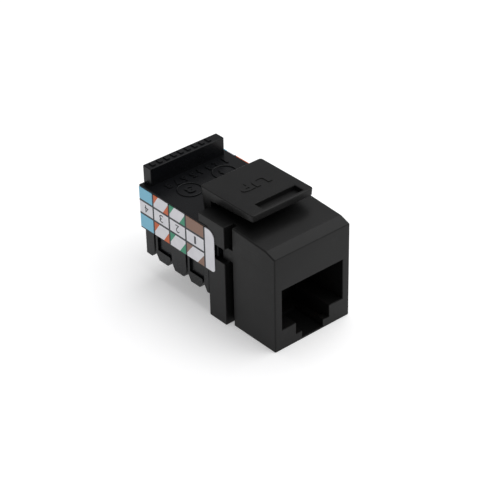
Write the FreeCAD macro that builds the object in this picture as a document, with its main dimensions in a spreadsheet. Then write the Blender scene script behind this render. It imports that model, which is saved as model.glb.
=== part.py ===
import FreeCAD, Part
import os
import Sketcher
from FreeCAD import Placement, Rotation, Vector

# Keystone jack: a modular plug socket in front, a two-row wire terminal block behind.
# X runs across the face, Y from the face to the rear end, Z up from the base.
# Every depth below is measured from the front face. The finished pieces are then
# moved forward by half the overall length, so that the origin is the base's centre.

# alias, millimetres, meaning
SIZES = [
    ("overall_length", 29.78, "front face to the rear end of the terminal block"),
    ("fit", 0.05, "clearance between two fixed mouldings"),
    # front block
    ("face_width", 14.5, "width of the front block"),
    ("face_height", 15.95, "front face up to the bevel"),
    ("bevel_run", 1.87, "depth of the bevel over the face"),
    ("front_top", 16.6, "height behind the bevel"),
    ("rear_top", 17.05, "height at the shoulders"),
    ("block_depth", 9.15, "front face to the panel groove"),
    ("block_edge", 0.22, "radius of the front block's outer edges"),
    ("groove_width", 0.85, "width of the panel groove"),
    ("groove_depth", 1.21, "depth of the panel groove in each side"),
    ("shoulder_width", 16.1, "width over the shoulders and the terminal block"),
    ("shoulder_depth", 3.78, "length of the shoulders"),
    ("front_wall", 1.3, "wall over the plug opening"),
    # plug opening
    ("opening_width", 11.86, "width of the plug opening"),
    ("opening_low", 3.43, "floor of the plug opening"),
    ("opening_height", 6.83, "height of the plug opening"),
    ("chamber_rise", 1.17, "ceiling of the contact chamber above the contacts"),
    ("clip_step_width", 6.46, "width of the upper step for the plug's clip"),
    ("clip_step_low", 1.44, "floor of the upper step"),
    ("clip_slot_width", 4.08, "width of the lower step"),
    ("clip_slot_depth", 6.0, "length of the lower step"),
    ("clip_slot_floor", 0.3, "thin floor under the lower step"),
    ("clip_pocket_floor", 0.9, "floor of the pocket behind the clip's stops"),
    ("clip_pocket_depth", 8.6, "front face to the back of the clip pocket"),
    # side windows and the bridge over the groove
    ("window_low", 10.8, "underside of the side window"),
    ("window_height", 2.4, "height of the side window"),
    ("window_wall", 0.7, "wall between the window and the contact chamber"),
    ("bridge_low", 11.1, "underside of the bridge over the groove"),
    ("bridge_height", 2.0, "height of the bridge"),
    ("window_length", 2.48, "side window in front of the shoulders' rear end"),
    # roof of the housing over the front of the cover
    ("roof_length", 1.9, "length of the roof behind the shoulders"),
    # latch tab
    ("tab_width", 11.74, "width of the latch tab"),
    ("tab_front", 6.2, "front face to the tab's lip"),
    ("tab_rise", 2.68, "top of the tab above the shoulders"),
    ("tab_front_thickness", 1.12, "thickness at the lip"),
    ("tab_rear_thickness", 1.85, "thickness in front of the heel"),
    ("heel_thickness", 2.04, "heel at the tab's rear end, front to rear"),
    ("heel_clearance", 0.12, "clearance between the heel, the roof and the cover"),
    ("tab_corner", 0.5, "corner radius seen from above"),
    ("tab_edge", 0.16, "radius of the top edges"),
    ("tab_slot_width", 7.8, "width of the recess behind the lip"),
    ("tab_slot_shift", 0.5, "recess centre beside the middle of the tab"),
    ("tab_slot_length", 2.0, "front to rear size of the recess"),
    ("tab_slot_depth", 0.8, "depth of the recess"),
    ("tab_lip", 0.5, "lip in front of the recess"),
    ("stem_back", 12.0, "front face to the middle of the stem"),
    ("stem_width", 8.0, "width of the stem"),
    ("stem_thickness", 1.2, "thickness of the stem"),
    ("foot_radius", 0.8, "radius of the stem's round foot"),
    ("foot_clearance", 0.07, "running clearance around the foot"),
    # terminal block
    ("row_bottom", 3.75, "lower ends of the teeth"),
    ("row_thickness", 3.6, "thickness of each row of teeth"),
    ("deck_thickness", 1.0, "thickness of the deck that carries the board"),
    ("rear_step", 1.03, "last tooth to the rear end"),
    ("rear_step_low", 7.9, "underside of the rear end above the teeth"),
    ("first_slot_gap", 1.29, "front of the terminal block to the first wire slot"),
    ("last_slot_room", 3.0, "room for a blade behind the last wire slot"),
    ("slot_pitch", 3.81, "wire slot to wire slot"),
    ("slot_width", 0.42, "width of a wire slot"),
    ("slot_top", 9.2, "upper end of a wire slot"),
    ("notch_run", 0.65, "lead-in on each side of a slot"),
    ("notch_rise", 1.1, "height of the lead-in"),
    ("pocket_long", 2.1, "blade pocket along the row"),
    ("pocket_wide", 2.3, "blade pocket across the row"),
    ("pocket_floor", 4.9, "floor of a blade pocket"),
    ("recess_depth", 0.35, "recess in the face of every other tooth"),
    ("recess_low", 4.75, "lower end of the recess"),
    ("recess_slope", 0.8, "height of the recess's sloped end"),
    ("recess_margin", 0.5, "tooth face left behind the recess"),
    # blades
    ("blade_width", 1.9, "width of a forked blade"),
    ("blade_thickness", 0.32, "sheet thickness of a blade"),
    ("blade_gap", 0.3, "floor of its pocket to the lower end of a blade"),
    ("blade_slit", 0.28, "slit between the tines"),
    ("slit_top", 8.3, "upper end of the slit"),
    ("slit_lead", 0.3, "widening at the mouth of the slit"),
    ("pin_width", 0.5, "width of the pin through the board"),
    ("pin_rise", 0.35, "pin above the board"),
    # circuit board
    ("board_thickness", 0.7, "thickness of the circuit board"),
    ("run_gap", 0.82, "circuit board to the contacts above it"),
    ("board_margin", 0.15, "board edge to the cover's walls"),
    ("pin_hole_radius", 0.4, "holes for the blades' pins"),
    ("leg_hole_radius", 0.38, "holes for the contacts' legs"),
    # top cover
    ("cover_drop", 1.55, "top of the cover below the top of the shoulders"),
    ("cover_wall", 0.7, "side walls of the cover"),
    ("cover_roof", 0.75, "roof of the cover"),
    ("rear_wall_width", 14.26, "width of the raised rear wall"),
    ("rear_wall_depth", 1.86, "thickness of the raised rear wall"),
    ("rear_wall_rise", 2.94, "raised rear wall above the cover"),
    ("rear_wall_skin", 0.5, "wall around the hollow in the rear wall"),
    ("lug_thickness", 0.85, "thickness of a snap lug"),
    ("lug_inset", 0.32, "outer face of a snap lug inside the shoulders"),
    ("lug_play", 0.25, "snap lug to the window around it"),
    ("lug_length", 2.0, "snap lug in front of the cover"),
    ("passage_width", 9.4, "passage for the contacts under the cover"),
    ("passage_rise", 0.52, "upper side of that passage above the contacts"),
    # contacts
    ("contact_pitch", 1.02, "contact to contact"),
    ("contact_thickness", 0.46, "section of a contact"),
    ("bend_back", 2.9, "front face to the centre of the bend"),
    ("bend_height", 11.6, "height of that centre"),
    ("bend_radius", 0.75, "radius of the bend at mid section"),
    ("spring_gap", 0.08, "bend to the moving spring"),
    ("spring_end_gap", 0.9, "back of the cavity to the spring's free end"),
    ("spring_end_height", 8.15, "height of the free end"),
    ("leg_gap", 1.87, "front of the terminal block to the first row of legs"),
    ("leg_row_gap", 1.3, "first row of legs to the second"),
    ("leg_reach", 0.6, "legs below the circuit board"),
    ("relief_depth", 0.8, "hollow in the deck under the legs"),
    # contact carrier
    ("carrier_inset", 0.08, "rear end of the shoulders to the back of the carrier"),
    ("carrier_wall", 1.2, "wall that closes the plug cavity"),
    ("tongue_front", 3.7, "front face to the ribbed part of the tongue"),
    ("tongue_gap", 0.07, "tongue to the contacts that wrap it"),
    ("groove_play", 0.06, "contact to the sides of its groove"),
    ("comb_length", 1.9, "length of the comb"),
    ("comb_low", 7.75, "lower edge of the comb"),
    # labels
    ("label_lap", 1.58, "length of a label over the shoulders"),
    ("label_inset", 0.08, "rear edge of a label to the rear end"),
    ("label_low", 8.2, "lower edge of a label"),
    ("label_height", 7.0, "height of a label"),
    ("label_thickness", 0.1, "thickness of a label"),
    ("label_top_corner", 1.3, "radius of the upper front corner"),
    ("label_low_corner", 0.6, "radius of the lower front corner"),
]
CONTACTS = 8

doc = FreeCAD.newDocument("keystone_jack")
sheet = doc.addObject("Spreadsheet::Sheet", "sizes")
for row, (alias, number, meaning) in enumerate(SIZES, start=1):
    sheet.set(f"A{row}", meaning)
    sheet.set(f"B{row}", str(number))
    sheet.setAlias(f"B{row}", alias)
doc.recompute()


class Length:
    """A length that knows its number and the sheet expression that gives it."""

    def __init__(self, number, text):
        self.number = number
        self.text = text

    def join(self, sign, other, number, swapped=False):
        left, right = (length(other), self) if swapped else (self, length(other))
        return Length(number, f"({left.text} {sign} {right.text})")

    def __add__(self, other):
        return self.join("+", other, self.number + length(other).number)

    def __sub__(self, other):
        return self.join("-", other, self.number - length(other).number)

    def __rsub__(self, other):
        return self.join("-", other, length(other).number - self.number, swapped=True)

    def __mul__(self, other):
        return self.join("*", other, self.number * length(other).number)

    def __truediv__(self, other):
        return self.join("/", other, self.number / length(other).number)

    def __neg__(self):
        return Length(-self.number, f"(-1 * {self.text})")

    __radd__ = __add__
    __rmul__ = __mul__


def length(value):
    return value if isinstance(value, Length) else Length(value, f"{value}")


def bind(thing, prop, value):
    thing.setExpression(prop, length(value).text)


class Sizes:
    """The sheet's cells as lengths."""

    def __getattr__(self, alias):
        return Length(sheet.get(alias), f"sizes.{alias}")


s = Sizes()

# places and sizes that several pieces share
half_face = s.face_width / 2
half_shoulder = s.shoulder_width / 2
half_opening = s.opening_width / 2
shoulder_front = s.block_depth + s.groove_width
shoulder_rear = shoulder_front + s.shoulder_depth
terminal_front = shoulder_rear + s.fit
carrier_rear = shoulder_rear - s.carrier_inset
cavity_back = carrier_rear - s.carrier_wall
opening_top = s.opening_low + s.opening_height
half_contact = s.contact_thickness / 2
contact_top = s.bend_height + s.bend_radius
contact_low = s.bend_height - s.bend_radius
chamber_top = contact_top + half_contact + s.chamber_rise
window_top = s.window_low + s.window_height
window_front = shoulder_rear - s.window_length
lug_outer = half_shoulder - s.lug_inset
lug_inner = lug_outer - s.lug_thickness
window_inner = lug_inner - s.lug_play
half_chamber = window_inner - s.window_wall
tab_top = s.rear_top + s.tab_rise
cover_top = s.rear_top - s.cover_drop
rear_wall_top = cover_top + s.rear_wall_rise
roof_low = cover_top + s.fit
roof_rear = shoulder_rear + s.roof_length
heel_front = roof_rear + s.heel_clearance
tab_rear = heel_front + s.heel_thickness
board_top = contact_top - half_contact - s.run_gap
deck_top = board_top - s.board_thickness
deck_low = deck_top - s.deck_thickness
row_inner = half_shoulder - s.row_thickness
row_middle = half_shoulder - s.row_thickness / 2
leg_back = terminal_front + s.leg_gap
contacts_span = s.contact_pitch * (CONTACTS - 1)
first_slot = terminal_front + s.first_slot_gap
slots_room = s.overall_length - s.last_slot_room - first_slot
SLOTS = int(slots_room.number / s.slot_pitch.number) + 1
slots_span = s.slot_pitch * (SLOTS - 1)


def new_body(name):
    body = doc.addObject("PartDesign::Body", name)
    body.Label = name
    bind(body, "Placement.Base.y", s.overall_length * -0.5)
    return body


def origin_feature(body, role):
    return next(item for item in body.Origin.OriginFeatures if item.Role == role)


def block(body, name, x, y, z, cut=False):
    """A box between pairs of lengths, added to the body or cut from it."""
    kind = "PartDesign::SubtractiveBox" if cut else "PartDesign::AdditiveBox"
    box = body.newObject(kind, name)
    box.AttachmentSupport = (origin_feature(body, "XY_Plane"), "")
    box.MapMode = "FlatFace"
    for axis, side, (low, high) in (("x", "Length", x), ("y", "Width", y), ("z", "Height", z)):
        bind(box, f"AttachmentOffset.Base.{axis}", low)
        bind(box, side, length(high) - length(low))
    return box


def both_sides(body, name, x, y, z, cut=False):
    """The same box on the right and on the left."""
    low, high = x
    block(body, f"{name}_left", (-length(high), -length(low)), y, z, cut)
    return block(body, f"{name}_right", x, y, z, cut)


def new_sketch(body, name, plane, offset):
    sketch = body.newObject("Sketcher::SketchObject", name)
    sketch.AttachmentSupport = (origin_feature(body, plane), "")
    sketch.MapMode = "FlatFace"
    bind(sketch, "AttachmentOffset.Base.z", offset)
    return sketch


def hold_point(sketch, edge, point, across, up):
    """Ties one point of an edge to the sketch's origin by two distances."""
    for kind, value in (("DistanceX", across), ("DistanceY", up)):
        value = length(value)
        at = sketch.addConstraint(Sketcher.Constraint(kind, -1, 1, edge, point, value.number))
        sketch.setExpression(f"Constraints[{at}]", value.text)


def polygon(body, name, plane, offset, corners):
    """A closed outline whose corners are pairs of lengths."""
    sketch = new_sketch(body, name, plane, offset)
    places = [Vector(length(a).number, length(b).number, 0) for a, b in corners]
    for start, end in zip(places, places[1:] + places[:1]):
        sketch.addGeometry(Part.LineSegment(start, end))
    for edge in range(len(corners)):
        following = (edge + 1) % len(corners)
        sketch.addConstraint(Sketcher.Constraint("Coincident", edge, 2, following, 1))
    for edge, (across, up) in enumerate(corners):
        hold_point(sketch, edge, 1, across, up)
    return sketch


def circles(body, name, plane, offset, places, radius):
    """Circles of one radius about several centres."""
    sketch = new_sketch(body, name, plane, offset)
    for edge, (across, up) in enumerate(places):
        centre = Vector(length(across).number, length(up).number, 0)
        sketch.addGeometry(Part.Circle(centre, Vector(0, 0, 1), length(radius).number))
        hold_point(sketch, edge, 3, across, up)
        at = sketch.addConstraint(Sketcher.Constraint("Radius", edge, length(radius).number))
        sketch.setExpression(f"Constraints[{at}]", length(radius).text)
    return sketch


def sweep(body, name, sketch, depth, cut=False, middle=True):
    """Pads or pockets a sketch by a depth, about its plane or to one side."""
    kind = "PartDesign::Pocket" if cut else "PartDesign::Pad"
    feature = body.newObject(kind, name)
    feature.Profile = sketch
    feature.Midplane = middle
    bind(feature, "Length", depth)
    return feature


def repeat(body, name, features, role, count, span):
    """Copies features evenly along an axis of the body."""
    pattern = body.newObject("PartDesign::LinearPattern", name)
    pattern.Originals = features
    pattern.Direction = (origin_feature(body, role), [""])
    pattern.Occurrences = count
    bind(pattern, "Length", span)
    body.Tip = pattern
    return pattern


def round_edges(body, name, radius, wanted):
    """Fillets the edges of the body's tip that a test picks by their middle and direction."""
    doc.recompute()
    tip = body.Tip
    names = []
    for index, edge in enumerate(tip.Shape.Edges, start=1):
        middle = edge.valueAt((edge.FirstParameter + edge.LastParameter) / 2)
        along = edge.valueAt(edge.LastParameter) - edge.valueAt(edge.FirstParameter)
        if wanted(middle, along):
            names.append(f"Edge{index}")
    fillet = body.newObject("PartDesign::Fillet", name)
    fillet.Base = (tip, names)
    bind(fillet, "Radius", radius)
    body.Tip = fillet
    return fillet


def near(one, other):
    return abs(one - length(other).number) < 1e-4


def make_front_housing():
    """The moulding with the plug cavity, the panel groove, the shoulders and their roof."""
    body = new_body("front_housing")
    side = polygon(body, "block_side", "YZ_Plane", 0, [
        (0, 0),
        (s.block_depth, 0),
        (s.block_depth, s.rear_top),
        (s.bevel_run, s.front_top),
        (0, s.face_height),
    ])
    sweep(body, "front_block", side, s.face_width)
    round_edges(body, "block_edges", s.block_edge,
                lambda middle, along: not near(middle.y, s.block_depth) and middle.z > 1e-4)
    neck = half_face - s.groove_depth
    block(body, "neck", (-neck, neck), (s.block_depth, shoulder_front), (0, s.rear_top))
    block(body, "shoulders", (-half_shoulder, half_shoulder), (shoulder_front, shoulder_rear),
          (0, s.rear_top))
    block(body, "roof", (-half_shoulder, half_shoulder), (shoulder_rear, roof_rear),
          (roof_low, s.rear_top))
    block(body, "bridge", (-half_face, half_face), (s.block_depth, shoulder_front),
          (s.bridge_low, s.bridge_low + s.bridge_height))
    window = (s.window_low, window_top)
    both_sides(body, "window_step", (half_face, half_face + s.groove_depth),
               (shoulder_front, window_front), window, cut=True)
    both_sides(body, "window", (window_inner, half_shoulder), (window_front, shoulder_rear),
               window, cut=True)
    block(body, "plug_cavity", (-half_opening, half_opening), (0, shoulder_rear),
          (s.opening_low, opening_top), cut=True)
    block(body, "contact_chamber", (-half_chamber, half_chamber), (s.front_wall, shoulder_rear),
          (opening_top, chamber_top), cut=True)
    half_step = s.clip_step_width / 2
    half_slot = s.clip_slot_width / 2
    block(body, "clip_step", (-half_step, half_step), (0, s.front_wall),
          (s.clip_step_low, s.opening_low), cut=True)
    block(body, "clip_pocket", (-half_step, half_step), (s.front_wall, s.clip_pocket_depth),
          (s.clip_pocket_floor, s.opening_low), cut=True)
    block(body, "clip_slot", (-half_slot, half_slot), (0, s.clip_slot_depth),
          (s.clip_slot_floor, s.clip_step_low), cut=True)
    seat = circles(body, "seat_circle", "YZ_Plane", 0, [(s.stem_back, s.rear_top)],
                   s.foot_radius + s.foot_clearance)
    body.Tip = sweep(body, "foot_seat", seat, s.stem_width + s.fit * 4, cut=True)
    return body


def make_latch_tab():
    """The flexing tab that holds the jack in its panel, with a heel, on a round-footed stem."""
    body = new_body("latch_tab")
    heel_low = cover_top + s.heel_clearance
    side = polygon(body, "plate_side", "YZ_Plane", 0, [
        (s.tab_front, tab_top - s.tab_front_thickness),
        (heel_front, tab_top - s.tab_rear_thickness),
        (heel_front, heel_low),
        (tab_rear, heel_low),
        (tab_rear, tab_top),
        (s.tab_front, tab_top),
    ])
    sweep(body, "plate", side, s.tab_width)
    round_edges(body, "plate_corners", s.tab_corner,
                lambda middle, along: abs(along.z) > along.Length * 0.9
                and not near(middle.y, heel_front))
    round_edges(body, "plate_edges", s.tab_edge, lambda middle, along: near(middle.z, tab_top))
    recess_front = s.tab_front + s.tab_lip
    half_recess = s.tab_slot_width / 2
    block(body, "recess", (s.tab_slot_shift - half_recess, s.tab_slot_shift + half_recess),
          (recess_front, recess_front + s.tab_slot_length),
          (tab_top - s.tab_slot_depth, tab_top), cut=True)
    half_stem = s.stem_width / 2
    half_thickness = s.stem_thickness / 2
    block(body, "stem", (-half_stem, half_stem),
          (s.stem_back - half_thickness, s.stem_back + half_thickness),
          (s.rear_top, tab_top - s.tab_front_thickness))
    foot = circles(body, "foot_circle", "YZ_Plane", 0, [(s.stem_back, s.rear_top)], s.foot_radius)
    body.Tip = sweep(body, "foot", foot, s.stem_width)
    return body


def make_terminal_block():
    """Two rows of teeth with wire slots between them, under a deck."""
    body = new_body("terminal_block")
    tooth_end = s.overall_length - s.rear_step
    side = polygon(body, "block_side", "YZ_Plane", 0, [
        (terminal_front, s.row_bottom),
        (tooth_end, s.row_bottom),
        (tooth_end, s.rear_step_low),
        (s.overall_length, s.rear_step_low),
        (s.overall_length, deck_top),
        (terminal_front, deck_top),
    ])
    sweep(body, "rows", side, s.shoulder_width)
    block(body, "cable_channel", (-row_inner, row_inner), (terminal_front, s.overall_length),
          (s.row_bottom, deck_low), cut=True)
    half_slot = s.slot_width / 2
    notch_top = s.row_bottom + s.notch_rise
    slot = polygon(body, "slot_side", "YZ_Plane", 0, [
        (first_slot - half_slot - s.notch_run, s.row_bottom),
        (first_slot + half_slot + s.notch_run, s.row_bottom),
        (first_slot + half_slot, notch_top),
        (first_slot + half_slot, s.slot_top),
        (first_slot - half_slot, s.slot_top),
        (first_slot - half_slot, notch_top),
    ])
    wire_slot = sweep(body, "wire_slot", slot, s.shoulder_width, cut=True)
    repeat(body, "wire_slots", [wire_slot], "Y_Axis", SLOTS, slots_span)
    half_long = s.pocket_long / 2
    half_wide = s.pocket_wide / 2
    both_sides(body, "blade_pocket", (row_middle - half_wide, row_middle + half_wide),
               (first_slot - half_long, first_slot + half_long),
               (s.pocket_floor, deck_top), cut=True)
    pockets = [doc.getObject("blade_pocket_left"), doc.getObject("blade_pocket_right")]
    repeat(body, "blade_pockets", pockets, "Y_Axis", SLOTS, slots_span)
    recess_floor = half_shoulder - s.recess_depth
    recess_rear = first_slot + s.slot_pitch - half_slot - s.recess_margin
    recesses = []
    for side_name, sign in (("left", -1), ("right", 1)):
        outline = polygon(body, f"recess_outline_{side_name}", "XZ_Plane", -first_slot, [
            (half_shoulder * sign, s.recess_low + s.recess_slope),
            (half_shoulder * sign, deck_low),
            (recess_floor * sign, deck_low),
            (recess_floor * sign, s.recess_low),
        ])
        recesses.append(sweep(body, f"tooth_recess_{side_name}", outline,
                              recess_rear - first_slot, cut=True, middle=False))
    repeat(body, "tooth_recesses", recesses, "Y_Axis", (SLOTS + 1) // 2, s.slot_pitch * 2)
    half_passage = s.passage_width / 2
    body.Tip = block(body, "leg_relief", (-half_passage, half_passage),
                     (leg_back - s.leg_row_gap / 2, leg_back + s.leg_row_gap * 1.5),
                     (deck_top - s.relief_depth, deck_top), cut=True)
    return body


def make_top_cover():
    """The shell over the circuit board, with a raised wall at the rear and two snap lugs."""
    body = new_body("top_cover")
    low = deck_top + s.fit
    block(body, "shell", (-half_shoulder, half_shoulder), (terminal_front, s.overall_length),
          (low, cover_top))
    half_wall = s.rear_wall_width / 2
    wall_front = s.overall_length - s.rear_wall_depth
    block(body, "rear_wall", (-half_wall, half_wall), (wall_front, s.overall_length),
          (cover_top, rear_wall_top))
    inner = half_shoulder - s.cover_wall
    block(body, "board_space", (-inner, inner),
          (terminal_front + s.cover_wall, s.overall_length - s.cover_wall),
          (low, cover_top - s.cover_roof), cut=True)
    block(body, "rear_wall_hollow", (s.rear_wall_skin - half_wall, half_wall - s.rear_wall_skin),
          (wall_front + s.rear_wall_skin, s.overall_length - s.cover_wall),
          (cover_top - s.cover_roof, rear_wall_top - s.rear_wall_skin), cut=True)
    half_passage = s.passage_width / 2
    passage_top = contact_top + half_contact + s.passage_rise
    block(body, "contact_passage", (-half_passage, half_passage),
          (terminal_front, terminal_front + s.cover_wall), (low, passage_top), cut=True)
    body.Tip = both_sides(body, "snap_lug", (lug_inner, lug_outer),
                          (terminal_front - s.lug_length, terminal_front + s.cover_wall),
                          (s.window_low + s.lug_play, window_top - s.lug_play))
    return body


def make_contact_carrier():
    """The insert that closes the plug cavity and guides the contacts with a comb."""
    body = new_body("contact_carrier")
    low_half = half_opening - s.fit
    high_half = half_chamber - s.fit
    top = chamber_top - s.fit
    tongue_low = contact_low + half_contact + s.tongue_gap
    tongue_top = contact_top - half_contact - s.tongue_gap
    comb_front = cavity_back - s.comb_length
    block(body, "low_wall", (-low_half, low_half), (cavity_back, carrier_rear),
          (s.opening_low + s.fit, opening_top))
    block(body, "high_wall", (-high_half, high_half), (cavity_back, carrier_rear),
          (opening_top, top))
    nose = circles(body, "nose_circle", "YZ_Plane", 0, [(s.bend_back, s.bend_height)],
                   (tongue_top - tongue_low) / 2)
    sweep(body, "round_nose", nose, high_half * 2)
    block(body, "nose", (-high_half, high_half), (s.bend_back, cavity_back),
          (tongue_low, tongue_top))
    block(body, "tongue", (-high_half, high_half), (s.tongue_front, cavity_back),
          (tongue_low, top))
    comb_inner = contacts_span / 2 + half_contact + s.groove_play
    both_sides(body, "low_cheek", (comb_inner, low_half), (comb_front, cavity_back),
               (s.comb_low, opening_top))
    both_sides(body, "high_cheek", (comb_inner, high_half), (comb_front, cavity_back),
               (opening_top, tongue_low))
    half_rib = s.contact_pitch / 2 - half_contact - s.groove_play
    first_rib = (contacts_span - s.contact_pitch) * -0.5
    rib = block(body, "comb_rib", (first_rib - half_rib, first_rib + half_rib),
                (comb_front, cavity_back), (s.comb_low, tongue_low))
    repeat(body, "comb_ribs", [rib], "X_Axis", CONTACTS - 1, contacts_span - s.contact_pitch)
    half_groove = half_contact + s.groove_play
    first_groove = contacts_span * -0.5
    groove = block(body, "contact_groove", (first_groove - half_groove, first_groove + half_groove),
                   (s.tongue_front, carrier_rear), (tongue_top, top), cut=True)
    repeat(body, "contact_grooves", [groove], "X_Axis", CONTACTS, contacts_span)
    return body


def make_circuit_board():
    """The board that joins the contacts to the blades."""
    body = new_body("circuit_board")
    half_width = half_shoulder - s.cover_wall - s.board_margin
    front = terminal_front + s.cover_wall + s.board_margin
    rear = s.overall_length - s.cover_wall - s.board_margin
    block(body, "board", (-half_width, half_width), (front, rear), (deck_top, board_top))
    pins = circles(body, "pin_circles", "XY_Plane", board_top,
                   [(-row_middle, first_slot), (row_middle, first_slot)], s.pin_hole_radius)
    pin_holes = sweep(body, "pin_holes", pins, s.board_thickness * 2, cut=True)
    repeat(body, "pin_hole_rows", [pin_holes], "Y_Axis", SLOTS, slots_span)
    first = contacts_span * -0.5
    legs = circles(body, "leg_circles", "XY_Plane", board_top, [
        (first, leg_back),
        (first + s.contact_pitch, leg_back + s.leg_row_gap),
    ], s.leg_hole_radius)
    leg_holes = sweep(body, "leg_holes", legs, s.board_thickness * 2, cut=True)
    repeat(body, "leg_hole_rows", [leg_holes], "X_Axis", CONTACTS // 2,
           contacts_span - s.contact_pitch)
    return body


def contact_place(index):
    """Distance of a contact's middle from the middle of the jack."""
    return s.contact_pitch * (index - (CONTACTS - 1) / 2)


def make_contact_base(index):
    """The fixed half of a contact: its leg, its run over the tongue and its bend."""
    body = new_body(f"contact_base_{index + 1}")
    middle = contact_place(index)
    outer = s.bend_radius + half_contact
    inner = s.bend_radius - half_contact
    centre = [(s.bend_back, s.bend_height)]
    across = (middle - half_contact, middle + half_contact)
    disc = circles(body, f"outer_circle_{index}", "YZ_Plane", middle, centre, outer)
    sweep(body, f"bend_disc_{index}", disc, s.contact_thickness)
    hole = circles(body, f"inner_circle_{index}", "YZ_Plane", middle, centre, inner)
    sweep(body, f"bend_hole_{index}", hole, s.contact_thickness, cut=True)
    block(body, f"bend_opening_{index}", across, (s.bend_back, s.bend_back + outer),
          (s.bend_height - outer, s.bend_height + outer), cut=True)
    leg = leg_back + s.leg_row_gap * (index % 2)
    block(body, f"run_{index}", across, (s.bend_back, leg + half_contact),
          (contact_top - half_contact, contact_top + half_contact))
    body.Tip = block(body, f"leg_{index}", across, (leg - half_contact, leg + half_contact),
                     (deck_top - s.leg_reach, contact_top + half_contact))
    return body


def make_contact_spring(index):
    """The moving half of a contact: a straight beam with round ends."""
    body = new_body(f"contact_spring_{index + 1}")
    start = (s.bend_back + half_contact + s.spring_gap, contact_low)
    end = (cavity_back - s.spring_end_gap, s.spring_end_height)
    first, last = (Vector(a.number, b.number, 0) for a, b in (start, end))
    radius = half_contact.number
    run = (last - first).normalize()
    side = Vector(-run.y, run.x, 0)
    sketch = new_sketch(body, f"beam_outline_{index}", "YZ_Plane", contact_place(index))
    corners = [first - side * radius, last - side * radius, last + side * radius,
               first + side * radius]
    sketch.addGeometry(Part.LineSegment(corners[0], corners[1]))
    sketch.addGeometry(Part.Arc(corners[1], last + run * radius, corners[2]))
    sketch.addGeometry(Part.LineSegment(corners[2], corners[3]))
    sketch.addGeometry(Part.Arc(corners[3], first - run * radius, corners[0]))
    joints = ((0, 2, 1, 1), (1, 2, 2, 1), (2, 2, 3, 1), (3, 2, 0, 1))
    for edge, point, other_edge, other_point in joints:
        sketch.addConstraint(
            Sketcher.Constraint("Tangent", edge, point, other_edge, other_point))
    hold_point(sketch, 3, 3, *start)
    hold_point(sketch, 1, 3, *end)
    at = sketch.addConstraint(Sketcher.Constraint("Radius", 1, radius))
    sketch.setExpression(f"Constraints[{at}]", half_contact.text)
    sweep(body, f"beam_{index}", sketch, s.contact_thickness)
    return body


def make_blade(index):
    """A forked blade that cuts into a wire, turned by 45 degrees across its slot."""
    body = new_body(f"terminal_blade_{index + 1}")
    side = -1 if index < SLOTS else 1
    body.Placement = Placement(Vector(0, 0, 0), Rotation(Vector(0, 0, 1), 45 * side))
    bind(body, "Placement.Base.x", row_middle * side)
    bind(body, "Placement.Base.y",
         first_slot + s.slot_pitch * (index % SLOTS) - s.overall_length / 2)
    half_width = s.blade_width / 2
    half_slit = s.blade_slit / 2
    half_pin = s.pin_width / 2
    shoulder = deck_top - s.fit
    low = s.pocket_floor + s.blade_gap
    right = [
        (half_slit, s.slit_top),
        (half_slit, low + s.slit_lead),
        (half_slit + s.slit_lead, low),
        (half_width, low),
        (half_width, shoulder),
        (half_pin, shoulder),
        (half_pin, board_top + s.pin_rise),
    ]
    left = [(-across, up) for across, up in reversed(right)]
    outline = polygon(body, f"blade_outline_{index}", "XZ_Plane", 0, right + left)
    sweep(body, f"blade_{index}", outline, s.blade_thickness)
    return body


def make_label(name, side):
    """A printed label on one side of the shoulders, the cover and the terminal block."""
    body = new_body(name)
    inner = half_shoulder * side
    outer = inner + s.label_thickness * side
    x = (inner, outer) if side > 0 else (outer, inner)
    front = shoulder_rear - s.label_lap
    block(body, f"{name}_sheet", x, (front, s.overall_length - s.label_inset),
          (s.label_low, s.label_low + s.label_height))
    for corner, height, radius in (
            ("low", s.label_low, s.label_low_corner),
            ("top", s.label_low + s.label_height, s.label_top_corner)):
        round_edges(body, f"{name}_{corner}_corner", radius,
                    lambda middle, along: near(middle.y, front) and near(middle.z, height)
                    and abs(along.x) > 1e-4)
    return body


pieces = [
    make_front_housing(),
    make_latch_tab(),
    make_terminal_block(),
    make_top_cover(),
    make_contact_carrier(),
    make_circuit_board(),
]
pieces += [make_contact_base(index) for index in range(CONTACTS)]
pieces += [make_contact_spring(index) for index in range(CONTACTS)]
pieces += [make_blade(index) for index in range(SLOTS * 2)]
pieces += [make_label("label_left", -1), make_label("label_right", 1)]
doc.recompute()

for item in doc.Objects:
    if "Invalid" in item.State or "Error" in item.State:
        raise RuntimeError(f"{item.Name} was not built: {item.State}")
for piece in pieces:
    if piece.Shape.isNull() or not piece.Shape.isValid() or len(piece.Shape.Solids) != 1:
        raise RuntimeError(f"{piece.Label} is not one valid solid")

os.makedirs("parts", exist_ok=True)
for piece in pieces:
    piece.Shape.exportStep(f"parts/{piece.Label}.step")
print(f"{len(pieces)} pieces written")
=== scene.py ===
import bmesh
import bpy
import math
import numpy as np
from mathutils import Matrix, Vector


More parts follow.
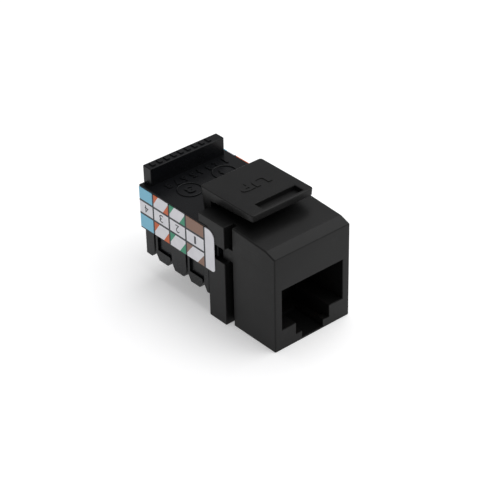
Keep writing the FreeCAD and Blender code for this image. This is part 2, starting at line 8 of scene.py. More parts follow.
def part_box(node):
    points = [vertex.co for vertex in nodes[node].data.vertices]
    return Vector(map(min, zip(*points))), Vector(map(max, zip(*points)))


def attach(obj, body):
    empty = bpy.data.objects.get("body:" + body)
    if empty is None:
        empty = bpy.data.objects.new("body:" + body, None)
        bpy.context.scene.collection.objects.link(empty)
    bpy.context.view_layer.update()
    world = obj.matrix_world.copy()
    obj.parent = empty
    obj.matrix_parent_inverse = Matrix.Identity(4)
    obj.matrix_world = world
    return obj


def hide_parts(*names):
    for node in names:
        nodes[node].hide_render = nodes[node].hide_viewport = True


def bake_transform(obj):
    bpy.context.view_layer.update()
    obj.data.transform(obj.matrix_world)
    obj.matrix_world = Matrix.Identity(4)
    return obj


# A black keystone jack on a white table: a moulded housing with a latch tab, a terminal
# block with wire slots, a cover with a raised rear wall, two printed labels, the contacts.
# X runs to the right seen from the front, Y to the rear, Z up. Unless a note says otherwise,
# lengths in the dictionaries are millimetres, angles degrees, and colours screen values.

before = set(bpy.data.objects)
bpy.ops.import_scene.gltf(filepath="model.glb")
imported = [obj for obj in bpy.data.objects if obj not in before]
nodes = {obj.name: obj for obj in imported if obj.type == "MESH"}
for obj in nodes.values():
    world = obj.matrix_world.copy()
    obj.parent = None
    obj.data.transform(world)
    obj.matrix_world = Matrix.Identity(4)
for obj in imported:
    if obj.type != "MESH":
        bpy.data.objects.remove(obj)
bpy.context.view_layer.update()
mm = 0.001
weld = 1e-7  # metres within which points become one
print("frame loaded:", len(nodes), "nodes")


class Signal:
    # One output inside a finish. Arithmetic on it adds Math nodes.
    def __init__(self, finish, socket):
        self.finish = finish
        self.socket = socket

    def math(self, operation, first, second=0.0):
        return self.finish.node("Math", {"operation": operation}, {0: first, 1: second})

    def __add__(self, other):
        return self.math("ADD", self, other)

    def __radd__(self, other):
        return self.math("ADD", other, self)

    def __sub__(self, other):
        return self.math("SUBTRACT", self, other)

    def __rsub__(self, other):
        return self.math("SUBTRACT", other, self)

    def __mul__(self, other):
        return self.math("MULTIPLY", self, other)

    def __truediv__(self, other):
        return self.math("DIVIDE", self, other)

    def __lt__(self, other):
        return self.math("LESS_THAN", self, other)

    def __gt__(self, other):
        return self.math("GREATER_THAN", self, other)

    def __or__(self, other):
        return self.math("MAXIMUM", self, other)

    def __abs__(self):
        return self.math("ABSOLUTE", self)

    def sine(self):
        return self.math("SINE", self)


class Finish:
    # A material under construction. Every node comes from the one method below.
    def __init__(self, name):
        self.material = bpy.data.materials.new(name)
        self.material.use_nodes = True
        self.tree = self.material.node_tree
        self.tree.nodes.clear()

    def node(self, kind, settings, sockets, output=0):
        made = self.tree.nodes.new("ShaderNode" + kind)
        for name, value in settings.items():
            if name == "stops":
                self.fillRamp(made.color_ramp, value)
            else:
                setattr(made, name, value)
        for name, value in sockets.items():
            if isinstance(value, Signal):
                self.tree.links.new(value.socket, made.inputs[name])
            else:
                made.inputs[name].default_value = value
        return Signal(self, made.outputs[output]) if len(made.outputs) else None

    def fillRamp(self, ramp, stops):
        while len(ramp.elements) < len(stops):
            ramp.elements.new(0.5)
        for element, (position, grey) in zip(ramp.elements, stops):
            element.position = position
            element.color = (grey, grey, grey, 1)

    def place(self):
        # object coordinates in millimetres
        spot = self.node("TexCoord", {}, {}, "Object")
        return self.node("VectorMath", {"operation": "SCALE"}, {0: spot, "Scale": 1 / mm})

    def axis(self, place, letter):
        return self.node("SeparateXYZ", {}, {0: place}, letter)

    def noise(self, place, scale, detail, stretch=(1, 1, 1)):
        spot = self.node("VectorMath", {"operation": "MULTIPLY"}, {0: place, 1: stretch})
        return self.node("TexNoise", {}, {"Vector": spot, "Scale": scale, "Detail": detail})

    def steps(self, value, stops):
        return self.node("ValToRGB", {"stops": stops}, {"Fac": value})

    def mix(self, share, one, other):
        return self.node("Mix", {"data_type": "RGBA"}, {0: share, 6: one, 7: other}, 2)

    def bump(self, height, strength, depth):
        sockets = {"Height": height, "Strength": strength, "Distance": depth * mm}
        return self.node("Bump", {}, sockets)

    def close(self, sockets):
        shader = self.node("BsdfPrincipled", {}, sockets)
        self.node("OutputMaterial", {}, {"Surface": shader})
        return self.material


def paint(red, green, blue):
    # a screen colour, 0 to 255, as linear light
    shares = [value / 255 for value in (red, green, blue)]
    light = [v / 12.92 if v < 0.04045 else ((v + 0.055) / 1.055) ** 2.4 for v in shares]
    return (*light, 1)


def linked(name, data):
    # a new object at the origin, in the scene
    made = bpy.data.objects.new(name, data)
    bpy.context.scene.collection.objects.link(made)
    return made


def newPiece(name, mesh, material, body, replaced=()):
    # a finished mesh becomes a piece that rides on a body of the jack
    piece = linked(name, mesh)
    mesh.materials.clear()
    mesh.materials.append(material)
    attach(piece, body)
    if replaced:
        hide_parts(*replaced)
    return piece


def surface(name, places, faces, smooth=True):
    # points and faces, as arrays or lists, put into a mesh
    mesh = bpy.data.meshes.new(name)
    mesh.from_pydata(np.asarray(places).tolist(), [], [list(face) for face in faces])
    mesh.polygons.foreach_set("use_smooth", np.full(len(mesh.polygons), smooth))
    mesh.update()
    return mesh


def carried(path, binormal, across, along, closed):
    # A section carried along a flat path. A point is the path's point, plus the section's
    # first number along the binormal, plus its second number along binormal x direction.
    if closed:
        direction = np.roll(path, -1, 0) - np.roll(path, 1, 0)
    else:
        direction = np.gradient(path, axis=0)
    direction /= np.linalg.norm(direction, axis=1)[:, None]
    side = np.cross(binormal, direction)
    places = (path[:, None] + across[None, :, None] * np.asarray(binormal)
              + along[None, :, None] * side[:, None])
    rows, columns = places.shape[:2]
    row = np.arange(rows if closed else rows - 1)[:, None]
    column = np.arange(columns)[None, :]
    after, beside = (row + 1) % rows, (column + 1) % columns
    corners = (row * columns + column, row * columns + beside,
               after * columns + beside, after * columns + column)
    faces = np.stack(np.broadcast_arrays(*corners), -1).reshape(-1, 4).tolist()
    if not closed:
        faces.append(list(range(columns))[::-1])
        faces.append(list(range((rows - 1) * columns, rows * columns)))
    return places.reshape(-1, 3), faces


def outward(mesh):
    # doubles merged, then normals turned outwards
    work = bmesh.new()
    work.from_mesh(mesh)
    bmesh.ops.remove_doubles(work, verts=work.verts, dist=weld)
    bmesh.ops.recalc_face_normals(work, faces=work.faces)
    work.to_mesh(mesh)
    work.free()
    return mesh


# black plastics

plasticSurface = {
    "cloudScale": 0.45,
    "scuffScale": 1.2,
    "scuffStops": [(0.6, 0), (0.76, 1)],
    "cloudShade": 0.7,
    "scuffShade": 0.3,
    "cloudRoughness": 0.14,
    "grainRoughness": 0.1,
    "scuffPolish": 0.06,
    "partingCut": 1.5,  # share of the grain's relief
}
housingLook = {
    "name": "blackHousingPlastic",
    "dark": (13, 13, 13),
    "light": (19, 19, 19),
    "roughness": 0.4,
    "gloss": 0.175,
    "grainScale": 11.0,
    "grainDepth": 0.012,
    "grainStrength": 0.35,
    "scuffStretch": (0.5, 3.0, 0.8),
    "parting": (13.25, 15.0),  # heights of the mould's parting lines
    "partingSide": 7.2,
    "partingWidth": 0.07,
}
latchLook = {
    **housingLook,
    "name": "blackLatchPlastic",
    "dark": (18, 18, 18),
    "light": (24, 24, 24),
    "roughness": 0.34,
    "parting": (),
}
terminalLook = {
    "name": "blackTerminalPlastic",
    "dark": (10, 11, 13),
    "light": (15, 16, 19),
    "roughness": 0.3,
    "gloss": 0.17,
    "grainScale": 8.0,
    "grainDepth": 0.008,
    "grainStrength": 0.3,
    "scuffStretch": (3.0, 0.5, 0.8),
    "parting": (),
}
carrierLook = {
    "name": "blackCarrierPlastic",
    "dark": (8, 8, 9),
    "light": (12, 12, 13),
    "roughness": 0.4,
    "gloss": 0.16,
    "grainScale": 9.0,
    "grainDepth": 0.006,
    "grainStrength": 0.3,
    "scuffStretch": (1.0, 1.0, 1.0),
    "parting": (),
}


def mouldedPlastic(look):
    # Black plastic: a fine eroded grain, faint clouds in colour and gloss, a few scuffs and,
    # on the housing's outer sides, the mould's parting lines.
    common = plasticSurface
    finish = Finish(look["name"])
    place = finish.place()
    grain = finish.noise(place, look["grainScale"], 3)
    cloud = finish.noise(place, common["cloudScale"], 3)
    streak = finish.noise(place, common["scuffScale"], 5, look["scuffStretch"])
    scuff = finish.steps(streak, common["scuffStops"])
    shade = cloud * common["cloudShade"] + scuff * common["scuffShade"]
    colour = finish.mix(shade, paint(*look["dark"]), paint(*look["light"]))
    roughness = (look["roughness"] + (cloud - 0.5) * common["cloudRoughness"]
                 + (grain - 0.5) * common["grainRoughness"] - scuff * common["scuffPolish"])
    relief = grain + cloud
    for height in look["parting"]:
        line = abs(finish.axis(place, "Z") - height) < look["partingWidth"] / 2
        onSide = abs(finish.axis(place, "X")) > look["partingSide"]
        relief = relief - line * onSide * common["partingCut"]
    normal = finish.bump(relief, look["grainStrength"], look["grainDepth"])
    return finish.close({"Base Color": colour, "Roughness": roughness, "Normal": normal,
                         "Specular IOR Level": look["gloss"]})


housingPlastic = mouldedPlastic(housingLook)
latchPlastic = mouldedPlastic(latchLook)
terminalPlastic = mouldedPlastic(terminalLook)
carrierPlastic = mouldedPlastic(carrierLook)
print("plastics made")


# mouldings, each a copy of its solid with rounded edges

mouldings = {
    "front_housing": {
        "piece": "housing_moulding", "body": "jack", "slot": "housing_plastic",
        "material": housingPlastic, "edge": 0.11,
    },
    "latch_tab": {
        "piece": "latch_moulding", "body": "latch", "slot": "housing_plastic",
        "material": latchPlastic, "edge": 0.12, "lean": 6,
    },
    "terminal_block": {
        "piece": "terminal_moulding", "body": "jack", "slot": "terminal_plastic",
        "material": terminalPlastic, "edge": 0.09,
    },
    "top_cover": {
        "piece": "cover_moulding", "body": "jack", "slot": "terminal_plastic",
        "material": terminalPlastic, "edge": 0.12,
    },
    "contact_carrier": {
        "piece": "carrier_moulding", "body": "jack", "slot": "carrier_plastic",
        "material": carrierPlastic, "edge": 0.04,
    },
}
rounding = {"flatTurn": math.radians(0.5), "sharpTurn": math.radians(40), "segments": 3}


def leanSides(work, angle):
    # the outer half on each side moves inwards by its depth below the top times the tangent
    top = max(corner.co.z for corner in work.verts)
    side = max(corner.co.x for corner in work.verts)
    for corner in work.verts:
        if abs(corner.co.x) > side / 2:
            inward = (top - corner.co.z) * math.tan(math.radians(angle))
            corner.co.x -= math.copysign(inward, corner.co.x)


def roundedCopy(node, plan):
    # the solid's triangles joined into flat faces, with a bevel on every sharp outer edge;
    # inner edges stay sharp, so that no light line runs along a foot
    work = bmesh.new()
    work.from_mesh(nodes[node].data)
    bmesh.ops.remove_doubles(work, verts=work.verts, dist=weld)
    bmesh.ops.dissolve_limit(work, angle_limit=rounding["flatTurn"], verts=work.verts,
                             edges=work.edges)
    if "lean" in plan:
        leanSides(work, plan["lean"])
    weight = work.edges.layers.float.new("bevel_weight_edge")
    for edge in work.edges:
        turn = edge.calc_face_angle_signed(0)
        edge[weight] = float(turn > rounding["sharpTurn"])
        edge.smooth = turn > -rounding["sharpTurn"]
    for face in work.faces:
        face.smooth = True
    mesh = bpy.data.meshes.new(plan["piece"])
    work.to_mesh(mesh)
    work.free()
    for name in ("custom_normal", "sharp_face"):
        if name in mesh.attributes:
            mesh.attributes.remove(mesh.attributes[name])
    piece = newPiece(plan["piece"], mesh, plan["material"], plan["body"], [node])
    bevel = piece.modifiers.new("roundedEdges", "BEVEL")
    bevel.width = plan["edge"] * mm
    bevel.segments = rounding["segments"]
    bevel.limit_method = "WEIGHT"
    bevel.use_clamp_overlap = True
    bevel.harden_normals = True


for node, plan in mouldings.items():
    roundedCopy(node, plan)
print("mouldings rounded")


# contacts: one bent wire each, in place of the solid base and beam

contacts = {
    "count": 8,
    "halfThickness": 0.23,
    "squareness": 5.0,
    "sectionPoints": 16,
    "cornerRadius": 0.45,
    "kneeRadius": 1.2,
    "points": {"leg": 6, "corner": 8, "run": 14, "bend": 20, "knee": 6, "beam": 24},
    "blendRise": 0.15,  # above the bend's lower end; the script works this point out but uses it nowhere
    "blendTravel": (0, -0.12, -1.2),
    "clean": (228, 186, 108),
    "tarnished": (196, 142, 74),
    "tarnishShare": 0.5,
    "tarnishScale": 0.9,
    "rollScale": 6.0,
    "rollStretch": (6.0, 0.4, 0.4),
    "roughness": 0.2,
    "rollRoughness": 0.12,
    "tarnishRoughness": 0.08,
}
rolledMetal = {"bumpStrength": 0.25, "bumpDepth": 0.004}


def goldPlating():
    # gold over spring alloy: fine rolling lines along the wire and slight tarnish
    finish = Finish("goldContactPlating")
    place = finish.place()
    rolled = finish.noise(place, contacts["rollScale"], 3, contacts["rollStretch"])
    tarnish = finish.noise(place, contacts["tarnishScale"], 3)
    colour = finish.mix(tarnish * contacts["tarnishShare"], paint(*contacts["clean"]),
                        paint(*contacts["tarnished"]))
    roughness = (contacts["roughness"] + rolled * contacts["rollRoughness"]
                 + tarnish * contacts["tarnishRoughness"])
    normal = finish.bump(rolled, rolledMetal["bumpStrength"], rolledMetal["bumpDepth"])
    return finish.close({"Base Color": colour, "Metallic": 1.0, "Roughness": roughness,
                         "Normal": normal})


def arc(centre, radius, start, end, steps):
    # centre plus radius times the cosine and sine of an angle between two angles in degrees
    angle = np.radians(np.linspace(start, end, steps))
    return np.stack([centre[0] + radius * np.cos(angle), centre[1] + radius * np.sin(angle)], 1)


def straight(start, end, steps):
    # points at even shares of the way between two ends
    share = np.linspace(0, 1, steps)[:, None]
    return np.asarray(start) * (1 - share) + np.asarray(end) * share


def wireSection():
    # Half the thickness times the cosine and sine of an angle, each raised to 2 / squareness
    # with its sign kept: a square with soft corners.
    half = contacts["halfThickness"] * mm
    angles = np.linspace(0, 2 * np.pi, contacts["sectionPoints"], endpoint=False)
    power = 2 / contacts["squareness"]
    across = half * np.sign(np.cos(angles)) * np.abs(np.cos(angles)) ** power
    along = half * np.sign(np.sin(angles)) * np.abs(np.sin(angles)) ** power
    return across, along


def wirePath(number):
    # A contact's middle line: up the leg, forward along the run, down round the bend, and to
    # the rear along the sloping beam. Drawn in Y and Z, then given its X. The second result
    # is where the bend ends.
    baseLow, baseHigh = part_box(f"contact_base_{number}")
    springLow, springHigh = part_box(f"contact_spring_{number}")
    half = contacts["halfThickness"] * mm
    corner = contacts["cornerRadius"] * mm
    knee = contacts["kneeRadius"] * mm
    points = contacts["points"]
    middle = (baseLow.x + baseHigh.x) / 2
    runHeight = baseHigh.z - half
    legBack = baseHigh.y - half
    bendLow = springHigh.z - half
    bendRadius = (runHeight - bendLow) / 2
    bendBack = baseLow.y + half + bendRadius
    beamStart = np.array([springLow.y + half, bendLow])
    beamEnd = np.array([springHigh.y - half, springLow.z + half])
    slope = math.degrees(math.atan2(*(beamEnd - beamStart)[::-1]))
    reach = knee * math.tan(math.radians(-slope / 2))
    kneeArc = arc((beamStart[0] - reach, bendLow - knee), knee, 90, 90 + slope,
                  points["knee"])
    skipped = 1 if reach < beamStart[0] - bendBack else 2  # points the bend already passes
    flat = np.vstack([
        straight((legBack, baseLow.z), (legBack, runHeight - corner), points["leg"])[:-1],
        arc((legBack - corner, runHeight - corner), corner, 0, 90, points["corner"])[:-1],
        straight((legBack - corner, runHeight), (bendBack, runHeight), points["run"])[:-1],
        arc((bendBack, runHeight - bendRadius), bendRadius, 90, 270, points["bend"]),
        kneeArc[skipped:-1],
        straight(kneeArc[-1], beamEnd, points["beam"]),
    ])
    return np.column_stack([np.full(len(flat), middle), flat]), (middle, bendBack, bendLow)


goldFinish = goldPlating()
sectionAcross, sectionAlong = wireSection()
for number in range(1, contacts["count"] + 1):
    path, (middle, bendBack, bendLow) = wirePath(number)
    places, faces = carried(path, (1, 0, 0), sectionAcross, sectionAlong, False)
    wire = outward(surface(f"contact_wire_{number}", places, faces))
    wire.materials.append(goldFinish)
    piece = linked(f"contact_wire_{number}", wire)
    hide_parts(f"contact_base_{number}", f"contact_spring_{number}")
    bendStart = Vector((middle, bendBack, bendLow + contacts["blendRise"] * mm))
    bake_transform(piece)
print("contacts bent")


# circuit board, blades and labels

boardLook = {
    "edge": 0.03,
    "dark": (22, 74, 50),
    "light": (36, 102, 68),
    "weavePitch": 9.0,  # radians in a millimetre
    "cloudScale": 1.0,
    "roughness": 0.28,
    "cloudRoughness": 0.15,
    "bumpStrength": 0.2,
    "bumpDepth": 0.01,
}
bladeLook = {
    "count": 8,
    "edge": 0.03,
    "dark": (176, 174, 168),
    "light": (205, 203, 198),
    "rollScale": 7.0,
    "rollStretch": (1, 1, 0.1),
    "cloudScale": 1.6,
    "roughness": 0.27,
    "rollRoughness": 0.1,
    "cloudRoughness": 0.1,
}
labelLook = {
    "edge": 0.03,
    "columns": (-2.69, -0.49, 3.81, 7.71, 11.51, 14.81),
    "rows": (8.2, 10.7, 13.0, 15.6),
    "line": 0.34,
    "triangleLong": 0.4,
    "triangleHigh": 0.85,
    "white": (232, 231, 234),
    "greyed": (214, 214, 220),
    "ink": (24, 30, 38),
    "brown": (140, 108, 92),
    "green": (58, 148, 114),
    "orange": (204, 98, 52),
    "blue": (128, 192, 217),
    "tables": {  # column, upper row, lower row
        "left": {"brown": (1, "full", "striped"), "green": (2, "striped", "striped"),
                 "orange": (3, "striped", "striped"), "blue": (4, "full", "full")},
        "right": {"brown": (1, "striped", "full"), "green": (2, "full", "full"),
                  "orange": (3, "full", "full"), "blue": (4, "striped", "striped")},
    },
    "fibreScale": 5.0,
    "fibreStretch": (0.3, 1.0, 1.0),
    "cloudScale": 0.7,
    "roughness": 0.42,
    "fibreRoughness": 0.15,
    "inkPolish": 0.08,
    "bumpStrength": 0.15,
    "bumpDepth": 0.006,
    "gloss": 0.35,
    "edgeInset": 0.07,
}


def solderMask():
    # green lacquer over glass cloth, with the weave faintly raised
    finish = Finish("greenSolderMask")
    place = finish.place()
    pitch = boardLook["weavePitch"]
    weave = (finish.axis(place, "X") * pitch).sine() * (finish.axis(place, "Z") * pitch).sine()
    cloud = finish.noise(place, boardLook["cloudScale"], 3)
    colour = finish.mix(cloud, paint(*boardLook["dark"]), paint(*boardLook["light"]))
    roughness = boardLook["roughness"] + cloud * boardLook["cloudRoughness"]
    normal = finish.bump(weave + cloud, boardLook["bumpStrength"], boardLook["bumpDepth"])
    return finish.close({"Base Color": colour, "Roughness": roughness, "Normal": normal})


def tinPlating():
    # dull tin on the forked blades: upright rolling lines and small clouds
    finish = Finish("tinBladePlating")
    place = finish.place()
    rolled = finish.noise(place, bladeLook["rollScale"], 3, bladeLook["rollStretch"])
    cloud = finish.noise(place, bladeLook["cloudScale"], 3)
    colour = finish.mix(cloud, paint(*bladeLook["dark"]), paint(*bladeLook["light"]))
    roughness = (bladeLook["roughness"] + rolled * bladeLook["rollRoughness"]
                 + cloud * bladeLook["cloudRoughness"])
    normal = finish.bump(rolled, rolledMetal["bumpStrength"], rolledMetal["bumpDepth"])
    return finish.close({"Base Color": colour, "Metallic": 1.0, "Roughness": roughness,
                         "Normal": normal})


def printedLabel(side):
    # White film with a printed table. Four columns from front to rear, three rows in each.
    # The middle row stays white for the numbers. A striped cell has a coloured triangle at
    # its upper rear corner and one at its lower front corner.
    finish = Finish(f"printedLabelFilm_{side}")
    place = finish.place()
    along = finish.axis(place, "Y")
    height = finish.axis(place, "Z")
    columns, rows = labelLook["columns"], labelLook["rows"]
    wide, tall = labelLook["triangleLong"], labelLook["triangleHigh"]
    fibre = finish.noise(place, labelLook["fibreScale"], 4, labelLook["fibreStretch"])
    cloud = finish.noise(place, labelLook["cloudScale"], 3)
    colour = finish.mix(cloud, paint(*labelLook["white"]), paint(*labelLook["greyed"]))
    for tint, (column, upper, lower) in labelLook["tables"][side].items():
        front, rear = columns[column], columns[column + 1]
        inColumn = (along > front) * (along < rear)
        share = (along - front) / (rear - front)
        for kind, low, high in ((lower, rows[0], rows[1]), (upper, rows[2], rows[3])):
            cell = inColumn * (height > low) * (height < high)
            rise = (height - low) / (high - low)
            if kind == "striped":
                upperRear = (1 - share) / wide + (1 - rise) / tall < 1
                lowerFront = share / wide + rise / tall < 1
                cell = cell * (upperRear | lowerFront)
            colour = finish.mix(cell, colour, paint(*labelLook[tint]))
    lines = 0.0
    for level in columns[1:5]:
        lines = (abs(along - level) < labelLook["line"] / 2) | lines
    onTable = along > columns[1]
    for level in rows[1:3]:
        lines = (abs(height - level) < labelLook["line"] / 2) * onTable | lines
    colour = finish.mix(lines, colour, paint(*labelLook["ink"]))
    roughness = (labelLook["roughness"] + fibre * labelLook["fibreRoughness"]
                 - lines * labelLook["inkPolish"])
    normal = finish.bump(fibre, labelLook["bumpStrength"], labelLook["bumpDepth"])
    return finish.close({"Base Color": colour, "Roughness": roughness, "Normal": normal,
                         "Specular IOR Level": labelLook["gloss"]})


def fixedPlan(piece, slot, material, edge):
    # what roundedCopy needs for a piece that stays with the jack
    return {"piece": piece, "body": "jack", "slot": slot, "material": material, "edge": edge}


boardFinish = solderMask()
tinFinish = tinPlating()
labelFinishes = {side: printedLabel(side) for side in ("left", "right")}
roundedCopy("circuit_board", fixedPlan("board_laminate", "board_laminate", boardFinish,
                                       boardLook["edge"]))
for number in range(1, bladeLook["count"] + 1):
    roundedCopy(f"terminal_blade_{number}", fixedPlan(f"blade_fork_{number}", "blade_plating",
                                                      tinFinish, bladeLook["edge"]))
for side, film in labelFinishes.items():
    roundedCopy(f"label_{side}", fixedPlan(f"label_film_{side}", "label_print", film,
                                           labelLook["edge"]))
print("board, blades and labels dressed")


# raised and printed marks

marks = {
    "thickness": 0.17,
    "sink": 0.02,
    "bold": 0.035,  # in the type's own units
    "typeSteps": 4,
    "tabTextSize": (5.4, 2.0),
    "tabTextAcross": 0.15,
    "tabTextBack": 6.6,
    "tabTextThickness": 0.1,
    "coverTop": 15.5,
    "coverTextSize": (11.6, 1.6),
    "coverTextAcross": 0.2,
    "coverTextFront": 3.5,
    "cavitySize": (1.3, 1.8),
    "cavityFirst": 3,
    "ringRadius": 1.9,
    "ringWidth": 0.24,
    "ringPoints": 48,
    "ringSection": 12,
    "ringPlaces": ((-3.5, 8.4), (3.6, 8.8)),
    "barCount": 9,
    "barPitch": 1.35,
    "barAcross": -0.6,
    "barFront": 0.85,
    "barSize": (0.6, 1.0),
    "barRise": 0.17,
}
labelInk = {
    "numbers": 4,
    "height": 1.3,
    "width": 0.85,
    "oneWidth": 0.4,
    "thickness": 0.012,
    "sink": 0.01,
    "dark": (26, 30, 38),
    "light": (52, 56, 64),
    "scale": 6.0,
    "roughness": 0.45,
    "densityRoughness": 0.2,
}


def lettering(name, words, size, centre, right, up, thickness, sink, bold):
    # Plain built-in type as a closed thin mesh of a given width and height. Its middle goes
    # to the centre, its reading direction along right, and its face out along right x up.
    curve = bpy.data.curves.new(name, "FONT")
    curve.body = words
    curve.extrude = 0.5
    curve.offset = bold
    curve.resolution_u = marks["typeSteps"]
    flat = linked(name, curve)
    graph = bpy.context.evaluated_depsgraph_get()
    mesh = bpy.data.meshes.new_from_object(flat.evaluated_get(graph))
    bpy.data.objects.remove(flat)
    bpy.data.curves.remove(curve)
    spots = np.empty(len(mesh.vertices) * 3)
    mesh.vertices.foreach_get("co", spots)
    spots = spots.reshape(-1, 3)
    low, high = spots.min(0), spots.max(0)
    scale = np.asarray(size) * mm / (high - low)[:2]
    right, up = np.asarray(right, float), np.asarray(up, float)
    out = np.cross(right, up)
    level = np.where(spots[:, 2] > 0, thickness * mm, -sink * mm)
    across = (spots[:, 0] - (low[0] + high[0]) / 2) * scale[0]
    rise = (spots[:, 1] - (low[1] + high[1]) / 2) * scale[1]
    spots = (np.asarray(centre) + across[:, None] * right + rise[:, None] * up
             + level[:, None] * out)
    mesh.vertices.foreach_set("co", spots.ravel())
    mesh.name = name
    return outward(mesh)


def inkFilm():
    # dark ink with a slightly uneven density
    finish = Finish("labelInk")
    density = finish.noise(finish.place(), labelInk["scale"], 3)
    colour = finish.mix(density, paint(*labelInk["dark"]), paint(*labelInk["light"]))
    roughness = labelInk["roughness"] + density * labelInk["densityRoughness"]
    return finish.close({"Base Color": colour, "Roughness": roughness})


def ringProfile(width, height, count):
    # half an ellipse above the surface and half below it
    angle = np.linspace(0, 2 * np.pi, count, endpoint=False)
    return width / 2 * np.cos(angle), height * np.sin(angle)


def blocks(name, centres, size):
    # plain blocks at several places, as one closed mesh
    signs = np.array([(x, y, z) for x in (-1, 1) for y in (-1, 1) for z in (-1, 1)]) / 2
    quads = np.array([(0, 1, 3, 2), (4, 6, 7, 5), (0, 4, 5, 1),
                      (2, 3, 7, 6), (0, 2, 6, 4), (1, 5, 7, 3)])
    places = (np.asarray(centres)[:, None] + signs[None] * np.asarray(size)).reshape(-1, 3)
    faces = (quads[None] + 8 * np.arange(len(centres))[:, None, None]).reshape(-1, 4)
    return outward(surface(name, places, faces, False))


def topMark(name, words, size, centre, thickness):
    # raised type on a top face, upright when read from the rear end
    return lettering(name, words, size, centre, (-1, 0, 0), (0, -1, 0), thickness,
                     marks["sink"], marks["bold"])


tabLow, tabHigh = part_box("latch_tab")
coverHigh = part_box("top_cover")[1]
coverTop = marks["coverTop"] * mm
words = topMark("latch_direction_mark", "UP", marks["tabTextSize"],
                (marks["tabTextAcross"] * mm, tabLow.y + marks["tabTextBack"] * mm, tabHigh.z),
                marks["tabTextThickness"])
newPiece("latch_direction_mark", words, latchPlastic, "latch")

digits = topMark("cover_numbers", "1 2 3 4 5 6 7 8", marks["coverTextSize"],
                 (marks["coverTextAcross"] * mm, coverHigh.y - marks["coverTextFront"] * mm,
                  coverTop), marks["thickness"])
newPiece("cover_numbers", digits, terminalPlastic, "jack")

turn = np.linspace(0, 2 * np.pi, marks["ringPoints"], endpoint=False)
radius = marks["ringRadius"] * mm
wide, high = ringProfile(marks["ringWidth"] * mm, marks["thickness"] * mm,
                         marks["ringSection"])
for number, (across, along) in enumerate(marks["ringPlaces"], 1):
    path = np.column_stack([across * mm + radius * np.cos(turn),
                            along * mm + radius * np.sin(turn), np.full(len(turn), coverTop)])
    places, faces = carried(path, (0, 0, 1), high, wide, True)
    ring = outward(surface(f"ejector_ring_{number}", places, faces))
    newPiece(f"ejector_ring_{number}", ring, terminalPlastic, "jack")
    cavity = topMark(f"cavity_number_{number}", str(number + marks["cavityFirst"] - 1),
                     marks["cavitySize"], (across * mm, along * mm, coverTop),
                     marks["thickness"])
    newPiece(f"cavity_number_{number}", cavity, terminalPlastic, "jack")

steps = np.arange(marks["barCount"]) - (marks["barCount"] - 1) / 2
barCentres = [((marks["barAcross"] + step * marks["barPitch"]) * mm,
               coverHigh.y - marks["barFront"] * mm, coverHigh.z) for step in steps]
barMesh = blocks("rear_wall_bars", barCentres,
                 (marks["barSize"][0] * mm, marks["barSize"][1] * mm, 2 * marks["barRise"] * mm))
newPiece("rear_wall_bars", barMesh, terminalPlastic, "jack")

inkFinish = inkFilm()
columns, rows = labelLook["columns"], labelLook["rows"]
for side, sign in (("left", -1), ("right", 1)):
    low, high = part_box(f"label_{side}")
    outer = low.x if sign < 0 else high.x
    for number in range(1, labelInk["numbers"] + 1):
        centre = (outer, (columns[number] + columns[number + 1]) / 2 * mm,
                  (rows[1] + rows[2]) / 2 * mm)
        name = f"label_number_{side}_{number}"
        width = labelInk["oneWidth"] if number == 1 else labelInk["width"]
        digit = lettering(name, str(number), (width, labelInk["height"]), centre,
                          (0, -sign, 0), (0, 0, -1), labelInk["thickness"], labelInk["sink"], 0)
        newPiece(name, digit, inkFinish, "jack")

# the right label stands up over the cover's edge, which shows as a thin coloured line
low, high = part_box("label_right")
front = columns[1] * mm
inset = labelLook["edgeInset"] * mm
edgeCentre = (coverHigh.x, (front + high.y) / 2, (high.z + coverTop) / 2)
edgeSize = (2 * inset, high.y - front, coverTop - high.z + 2 * labelInk["thickness"] * mm)
labelEdge = blocks("label_edge_right", [edgeCentre], edgeSize)
newPiece("label_edge_right", labelEdge, labelFinishes["right"], "jack")
print("marks placed")


# table, light and camera

stage = {
    "floorSize": 6000,
    "floorColour": (238, 238, 238),
    "floorCloud": (234, 234, 234),
    "floorGlow": 0.29,
    "cloudScale": 0.02,
    "roughness": 0.7,
    "cloudRoughness": 0.1,
    "grainScale": 2.0,
    "grainStrength": 0.05,
    "grainDepth": 0.01,
    "gloss": 0.1,
    "worldStrength": 0.4,
    "worldColour": (250, 250, 252),
}
lights = {  # distances and sizes in metres, power in watts
    "key": {"azimuth": -6, "height": 68, "distance": 0.7, "size": 0.9, "power": 4.5},
    "front": {"azimuth": -60, "height": 30, "distance": 0.9, "size": 0.7, "power": 1.2},
}
view = {
    "azimuth": -40.096,
    "height": 33.398,
    "roll": 1.242,
    "distance": 255.37,
    "aim": (-1.354, -2.678, 9.235),
    "lens": 124.74,
    "sensor": 36.0,
    "nearClip": 10,
    "farClip": 20000,
}


def tableTop():
    # a matt white light table, lit a little from below, with very faint clouds
    finish = Finish("whiteTable")
    place = finish.place()
    cloud = finish.noise(place, stage["cloudScale"], 3)
    grain = finish.noise(place, stage["grainScale"], 2)
    colour = finish.mix(cloud, paint(*stage["floorColour"]), paint(*stage["floorCloud"]))
    roughness = stage["roughness"] + cloud * stage["cloudRoughness"]
    normal = finish.bump(grain, stage["grainStrength"], stage["grainDepth"])
    return finish.close({"Base Color": colour, "Roughness": roughness, "Normal": normal,
                         "Specular IOR Level": stage["gloss"], "Emission Color": (1, 1, 1, 1),
                         "Emission Strength": stage["floorGlow"]})


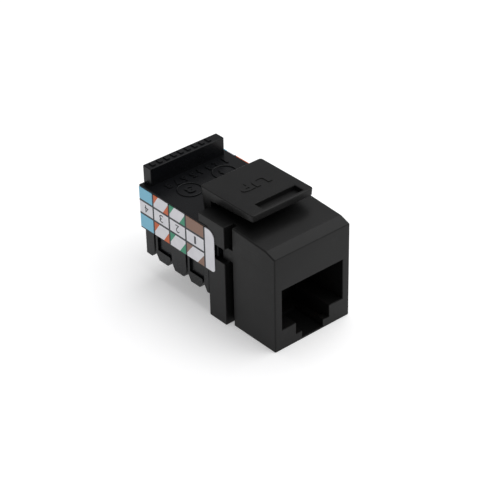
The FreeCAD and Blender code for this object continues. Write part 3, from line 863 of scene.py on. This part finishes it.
def direction(azimuth, height):
    # unit vector towards a compass angle, counted from +X to +Y, and a height in degrees
    turned, raised = math.radians(azimuth), math.radians(height)
    return Vector((math.cos(turned) * math.cos(raised), math.sin(turned) * math.cos(raised),
                   math.sin(raised)))


def softLight(name, plan):
    # a square soft box that faces the jack
    lamp = bpy.data.lights.new(name, "AREA")
    lamp.shape = "SQUARE"
    lamp.size = plan["size"]
    lamp.energy = plan["power"]
    towards = direction(plan["azimuth"], plan["height"])
    spot = towards * plan["distance"]
    facing = towards.to_track_quat("Z", "Y")
    linked(name, lamp).matrix_world = Matrix.LocRotScale(spot, facing, None)


def photoCamera():
    # the solved camera: right, up and back axes from two angles and a small roll
    turned, raised, rolled = (math.radians(view[name]) for name in ("azimuth", "height", "roll"))
    level = Vector((math.cos(turned), math.sin(turned), 0))
    back = Vector((math.sin(turned) * math.cos(raised), -math.cos(turned) * math.cos(raised),
                   math.sin(raised)))
    upright = back.cross(level)
    right = level * math.cos(rolled) - upright * math.sin(rolled)
    up = level * math.sin(rolled) + upright * math.cos(rolled)
    lens = bpy.data.cameras.new("photoCamera")
    lens.lens = view["lens"]
    lens.sensor_width = view["sensor"]
    lens.clip_start = view["nearClip"] * mm
    lens.clip_end = view["farClip"] * mm
    spot = (Vector(view["aim"]) + back * view["distance"]) * mm
    camera = linked("photoCamera", lens)
    turnMatrix = Matrix((right, up, back)).transposed().to_4x4()
    camera.matrix_world = Matrix.Translation(spot) @ turnMatrix
    bpy.context.scene.camera = camera


reach = stage["floorSize"] / 2 * mm
floorCorners = [(-reach, -reach, 0), (reach, -reach, 0), (reach, reach, 0), (-reach, reach, 0)]
floorMesh = surface("table", floorCorners, [(0, 1, 2, 3)], False)
floorMesh.materials.append(tableTop())
floor = linked("table", floorMesh)

world = bpy.data.worlds.new("studio")
world.use_nodes = True
backdrop = world.node_tree.nodes["Background"]
backdrop.inputs["Color"].default_value = paint(*stage["worldColour"])
backdrop.inputs["Strength"].default_value = stage["worldStrength"]
bpy.context.scene.world = world
bpy.context.scene.view_settings.view_transform = "Standard"
for name, plan in lights.items():
    softLight(name + "Light", plan)
photoCamera()
print("stage set")
